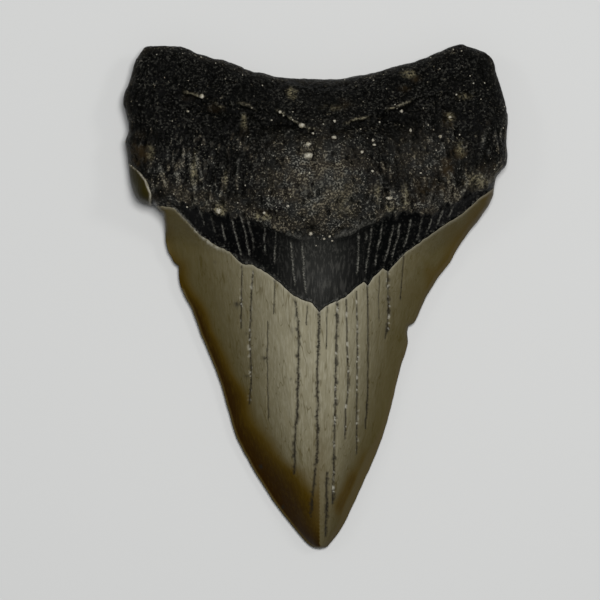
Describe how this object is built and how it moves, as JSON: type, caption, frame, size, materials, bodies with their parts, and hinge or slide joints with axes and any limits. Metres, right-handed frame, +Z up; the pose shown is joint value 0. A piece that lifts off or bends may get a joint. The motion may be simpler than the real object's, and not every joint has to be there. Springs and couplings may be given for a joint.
{
  "type": "fossil megalodon tooth",
  "caption": "Large serrated fossil shark tooth with a dark pitted two-lobed root, a ridged black neck and a cracked grey-brown enamel crown, lying on its flat face.",
  "frame": {"origin": "on the surface that the tooth lies on, under the middle of its outline", "axes": "+Y from the tip towards the root, +Z up out of the domed lingual face, +X to the right as seen from above with the tip down"},
  "size_m": [0.0919, 0.1209, 0.0268],
  "materials": {
    "fossil_tooth": "dark granular root and glossy neck, grey-olive enamel crown with brown edges"
  },
  "bodies": {
    "root": {"tooth": "fossil_tooth"}
  },
  "joints": []
}
